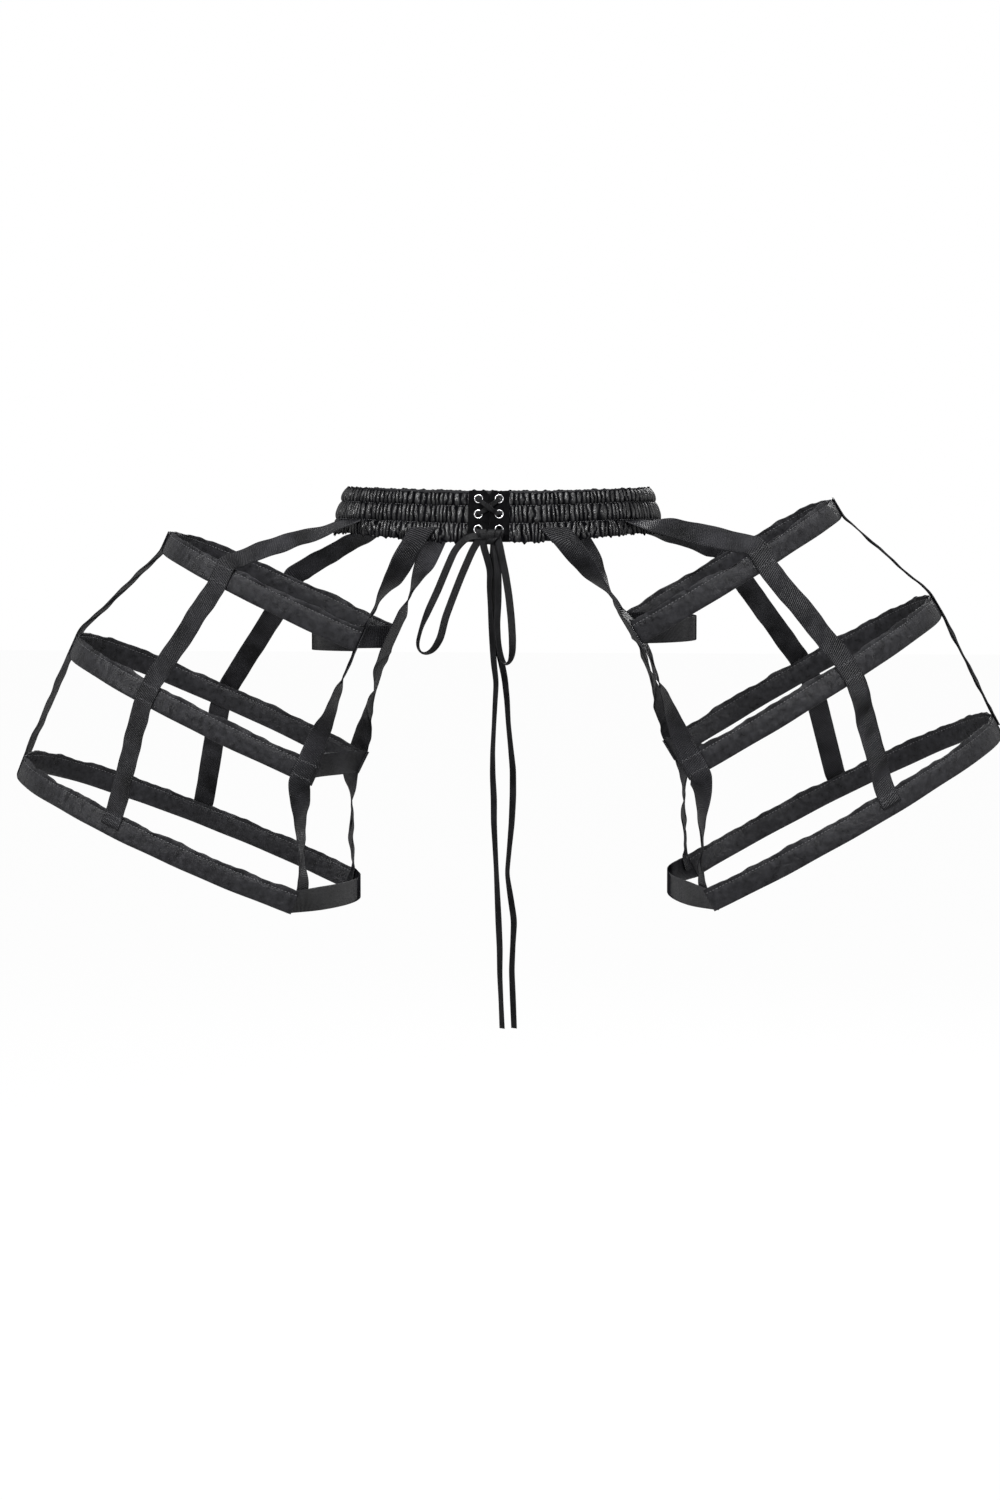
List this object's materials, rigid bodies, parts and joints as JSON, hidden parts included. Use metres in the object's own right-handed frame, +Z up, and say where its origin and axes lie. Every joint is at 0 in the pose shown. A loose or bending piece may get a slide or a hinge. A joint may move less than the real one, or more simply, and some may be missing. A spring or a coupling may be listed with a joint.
{
  "type": "bustle skirt",
  "caption": "Open bustle skirt: hooped side cages hung on ribbon straps from a shirred waistband that laces and ties in a bow at the front.",
  "frame": {"origin": "centre of the waist opening, half way up the waistband", "axes": "+Z up, the front with the lacing faces -Y, +X to the right as seen from the front"},
  "size_m": [0.8908, 0.3458, 0.4575],
  "materials": {
    "gathered_satin": "shirred satin, soft sheen",
    "casing_satin": "folded satin tape, soft sheen",
    "lining": "plain weave",
    "elastic": "knitted elastic",
    "eyelet_panel": "matte velvet-like cloth",
    "eyelet": "polished",
    "lace": "flat woven lace",
    "hoop_bone": "stiff flat boning",
    "ribbon": "ribbed ribbon, dull"
  },
  "bodies": {
    "root": {"waistband_outer": "gathered_satin", "waistband_lining": "lining", "elastic_upper": "elastic", "elastic_middle": "elastic", "elastic_lower": "elastic", "eyelet_panel_left": "eyelet_panel", "eyelet_panel_right": "eyelet_panel", "eyelets": "eyelet", "lacing": "lace", "bow_knot": "lace", "bow_loop_left": "lace", "bow_loop_right": "lace", "lace_tail_left": "lace", "lace_tail_right": "lace", "hoop_casing_left_top": "casing_satin", "hoop_casing_left_middle": "casing_satin", "hoop_casing_left_bottom": "casing_satin", "hoop_casing_right_top": "casing_satin", "hoop_casing_right_middle": "casing_satin", "hoop_casing_right_bottom": "casing_satin", "hoop_bone_left_top": "hoop_bone", "hoop_bone_left_middle": "hoop_bone", "hoop_bone_left_bottom": "hoop_bone", "hoop_bone_right_top": "hoop_bone", "hoop_bone_right_middle": "hoop_bone", "hoop_bone_right_bottom": "hoop_bone", "hip_tape_left_top": "ribbon", "hip_tape_left_middle": "ribbon", "hip_tape_left_bottom": "ribbon", "hip_tape_right_top": "ribbon", "hip_tape_right_middle": "ribbon", "hip_tape_right_bottom": "ribbon", "strap_front_inner_left": "ribbon", "strap_front_side_left": "ribbon", "strap_outer_left": "ribbon", "strap_back_side_left": "ribbon", "strap_back_inner_left": "ribbon", "strap_front_inner_right": "ribbon", "strap_front_side_right": "ribbon", "strap_outer_right": "ribbon", "strap_back_side_right": "ribbon", "strap_back_inner_right": "ribbon"}
  },
  "joints": []
}
